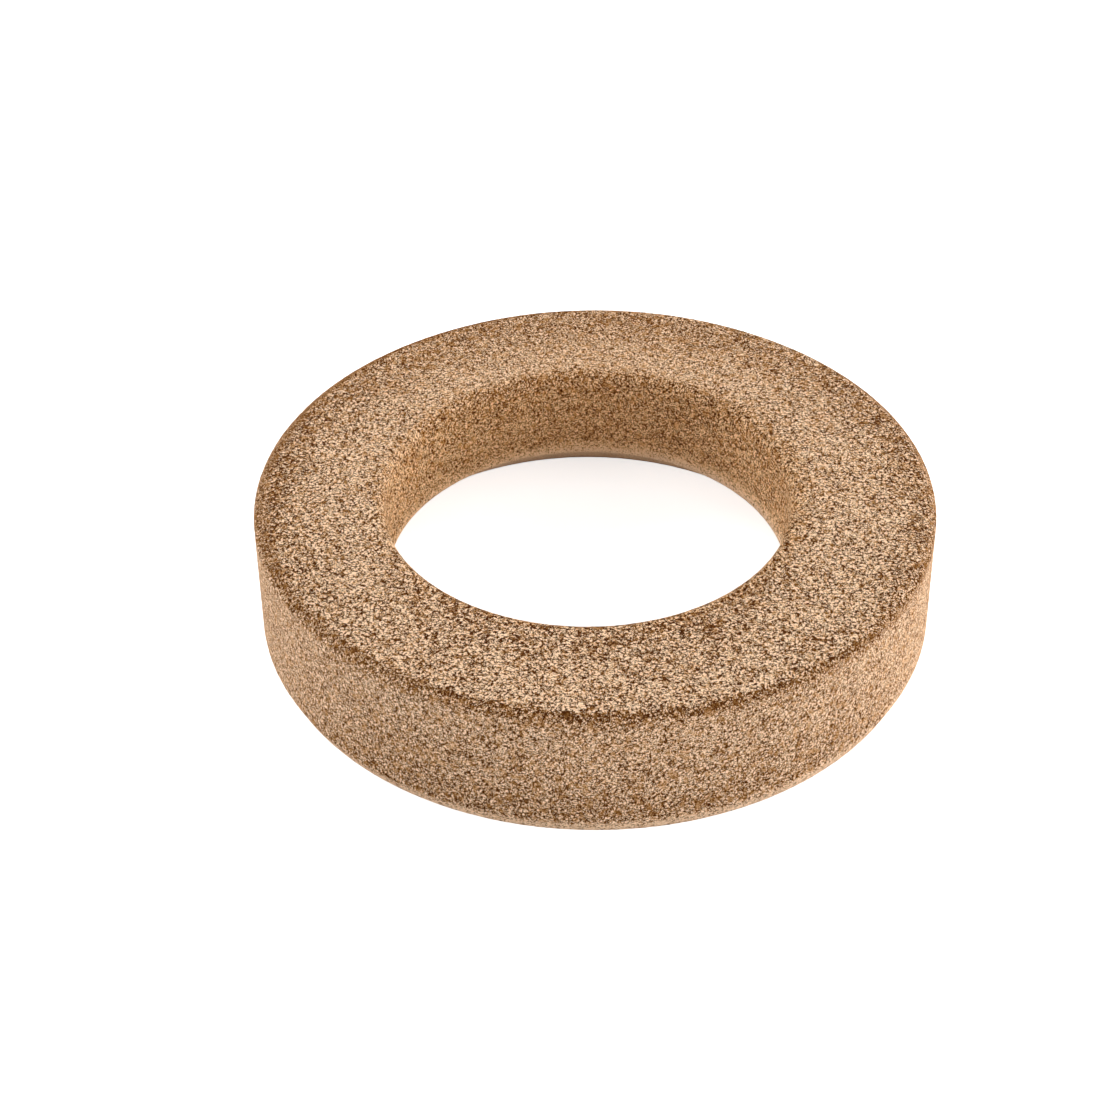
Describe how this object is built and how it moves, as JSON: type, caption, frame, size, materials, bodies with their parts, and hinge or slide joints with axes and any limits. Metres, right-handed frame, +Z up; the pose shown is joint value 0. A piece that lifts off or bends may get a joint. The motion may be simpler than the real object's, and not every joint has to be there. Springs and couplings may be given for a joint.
{
  "type": "cork ring",
  "caption": "Flat, thick ring of pressed cork granules with a wide central hole and bevelled edges; a round-bottomed flask rests in it.",
  "frame": {"origin": "centre of the outer circle, on the plane of the foot", "axes": "+Z up out of the top face, along the hole; -X is the side towards which the hole is shifted"},
  "size_m": [0.14, 0.14, 0.03],
  "materials": {
    "cork": "matt pressed cork granules, cut and bevelled, uncoated"
  },
  "bodies": {
    "root": {"ring": "cork"}
  },
  "joints": []
}
